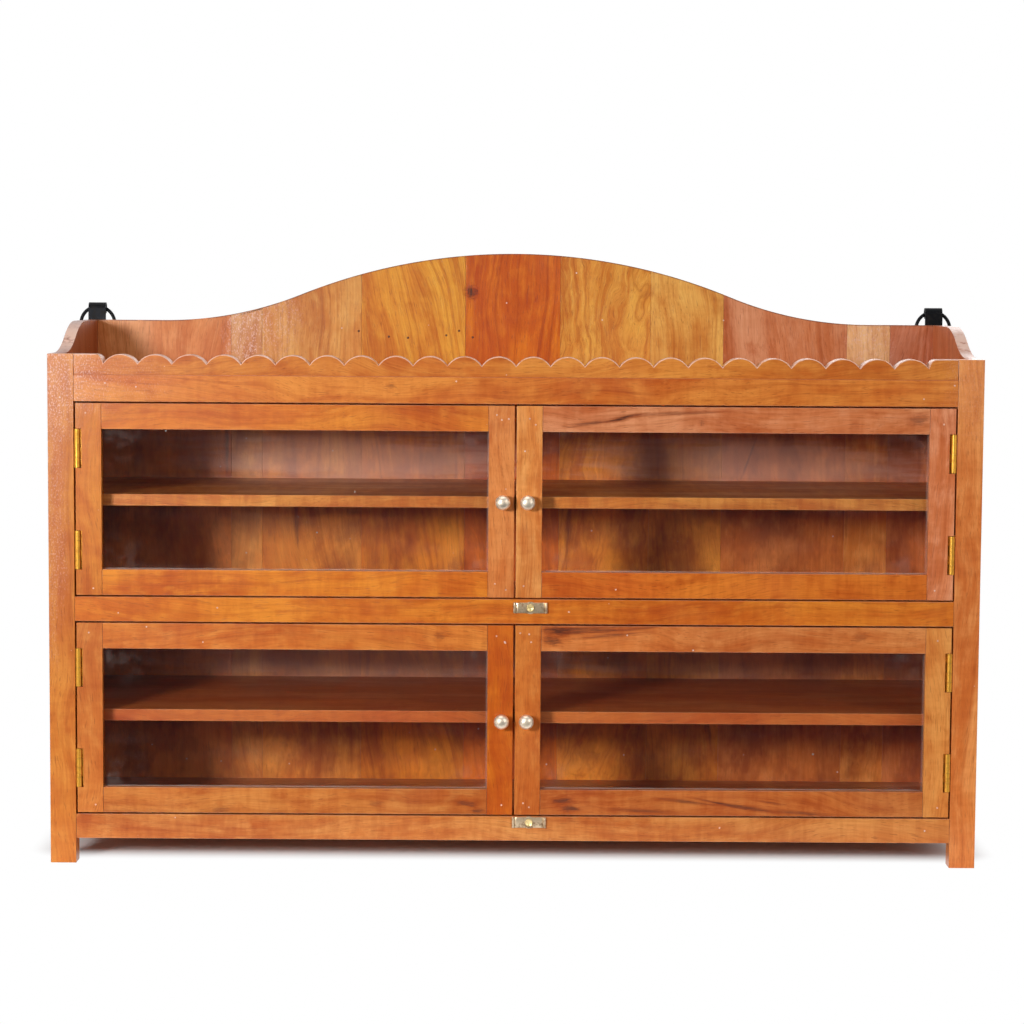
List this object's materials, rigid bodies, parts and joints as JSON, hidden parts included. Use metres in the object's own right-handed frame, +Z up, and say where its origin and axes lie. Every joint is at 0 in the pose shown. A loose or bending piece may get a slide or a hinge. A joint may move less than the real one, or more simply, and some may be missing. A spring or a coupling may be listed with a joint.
{
  "type": "wall cabinet",
  "caption": "Lacquered wooden wall cabinet with glazed double doors over shelves, a scalloped gallery tray on top, a curved crest and ring hangers.",
  "frame": {"origin": "on the standing plane under the middle of the whole cabinet's box", "axes": "+X to the cabinet's right as seen from the front, +Y from the doors to the back, +Z up"},
  "size_m": [0.9626, 0.3016, 0.6225],
  "materials": {
    "lacquered_wood": "clear lacquer over reddish-brown hardwood",
    "golden_wood": "clear lacquer over golden-brown boards",
    "clear_glass": "clear sheet glass",
    "brass": "pressed brass, slightly tarnished",
    "pewter": "satin pewter-grey metal",
    "black_iron": "blackened iron"
  },
  "bodies": {
    "case": {"left_post": "lacquered_wood", "right_post": "lacquered_wood", "left_side": "lacquered_wood", "right_side": "lacquered_wood", "top_rail": "lacquered_wood", "middle_rail": "lacquered_wood", "bottom_rail": "lacquered_wood", "scalloped_gallery": "lacquered_wood", "top_board": "golden_wood", "middle_board": "golden_wood", "bottom_board": "golden_wood", "upper_shelf": "golden_wood", "lower_shelf": "golden_wood", "back_panel": "golden_wood", "left_hanger_strap": "black_iron", "right_hanger_strap": "black_iron", "upper_left_top_hinge_frame_leaf": "brass", "upper_left_bottom_hinge_frame_leaf": "brass", "upper_right_top_hinge_frame_leaf": "brass", "upper_right_bottom_hinge_frame_leaf": "brass", "lower_left_top_hinge_frame_leaf": "brass", "lower_left_bottom_hinge_frame_leaf": "brass", "lower_right_top_hinge_frame_leaf": "brass", "lower_right_bottom_hinge_frame_leaf": "brass"},
    "upper_left_door": {"upper_left_hinge_stile": "lacquered_wood", "upper_left_meeting_stile": "lacquered_wood", "upper_left_door_top_rail": "lacquered_wood", "upper_left_door_bottom_rail": "lacquered_wood", "upper_left_glass": "clear_glass", "upper_left_knob": "pewter", "upper_left_top_hinge_door_leaf": "brass", "upper_left_bottom_hinge_door_leaf": "brass"},
    "upper_right_door": {"upper_right_hinge_stile": "lacquered_wood", "upper_right_meeting_stile": "lacquered_wood", "upper_right_door_top_rail": "lacquered_wood", "upper_right_door_bottom_rail": "lacquered_wood", "upper_right_glass": "clear_glass", "upper_right_knob": "pewter", "upper_right_top_hinge_door_leaf": "brass", "upper_right_bottom_hinge_door_leaf": "brass"},
    "lower_left_door": {"lower_left_hinge_stile": "lacquered_wood", "lower_left_meeting_stile": "lacquered_wood", "lower_left_door_top_rail": "lacquered_wood", "lower_left_door_bottom_rail": "lacquered_wood", "lower_left_glass": "clear_glass", "lower_left_knob": "pewter", "lower_left_top_hinge_door_leaf": "brass", "lower_left_bottom_hinge_door_leaf": "brass"},
    "lower_right_door": {"lower_right_hinge_stile": "lacquered_wood", "lower_right_meeting_stile": "lacquered_wood", "lower_right_door_top_rail": "lacquered_wood", "lower_right_door_bottom_rail": "lacquered_wood", "lower_right_glass": "clear_glass", "lower_right_knob": "pewter", "lower_right_top_hinge_door_leaf": "brass", "lower_right_bottom_hinge_door_leaf": "brass"},
    "upper_button": {"upper_turn_button": "pewter"},
    "lower_button": {"lower_turn_button": "pewter"},
    "left_hanger_ring": {"left_ring": "black_iron"},
    "right_hanger_ring": {"right_ring": "black_iron"}
  },
  "joints": [
    {"name": "upper_left_door_hinge", "type": "hinge", "parent": "case", "child": "upper_left_door", "pos_m": [-0.4408, -0.13268, 0.371], "axis": [0, 0, -1], "range_deg": [0, 110]},
    {"name": "upper_right_door_hinge", "type": "hinge", "parent": "case", "child": "upper_right_door", "pos_m": [0.4408, -0.13268, 0.371], "axis": [0, 0, 1], "range_deg": [0, 110]},
    {"name": "lower_left_door_hinge", "type": "hinge", "parent": "case", "child": "lower_left_door", "pos_m": [-0.4408, -0.13268, 0.149], "axis": [0, 0, -1], "range_deg": [0, 110]},
    {"name": "lower_right_door_hinge", "type": "hinge", "parent": "case", "child": "lower_right_door", "pos_m": [0.4408, -0.13268, 0.149], "axis": [0, 0, 1], "range_deg": [0, 110]},
    {"name": "upper_turn_button_pivot", "type": "hinge", "parent": "case", "child": "upper_button", "pos_m": [0.016, -0.13428, 0.264], "axis": [0, -1, 0], "continuous": true},
    {"name": "lower_turn_button_pivot", "type": "hinge", "parent": "case", "child": "lower_button", "pos_m": [0.016, -0.13428, 0.0445], "axis": [0, -1, 0], "continuous": true},
    {"name": "left_ring_swing", "type": "hinge", "parent": "case", "child": "left_hanger_ring", "pos_m": [-0.4608, 0.14472, 0.5603], "axis": [1, 0, 0], "range_deg": [0, 180]},
    {"name": "right_ring_swing", "type": "hinge", "parent": "case", "child": "right_hanger_ring", "pos_m": [0.4608, 0.14472, 0.5603], "axis": [1, 0, 0], "range_deg": [0, 180]}
  ]
}
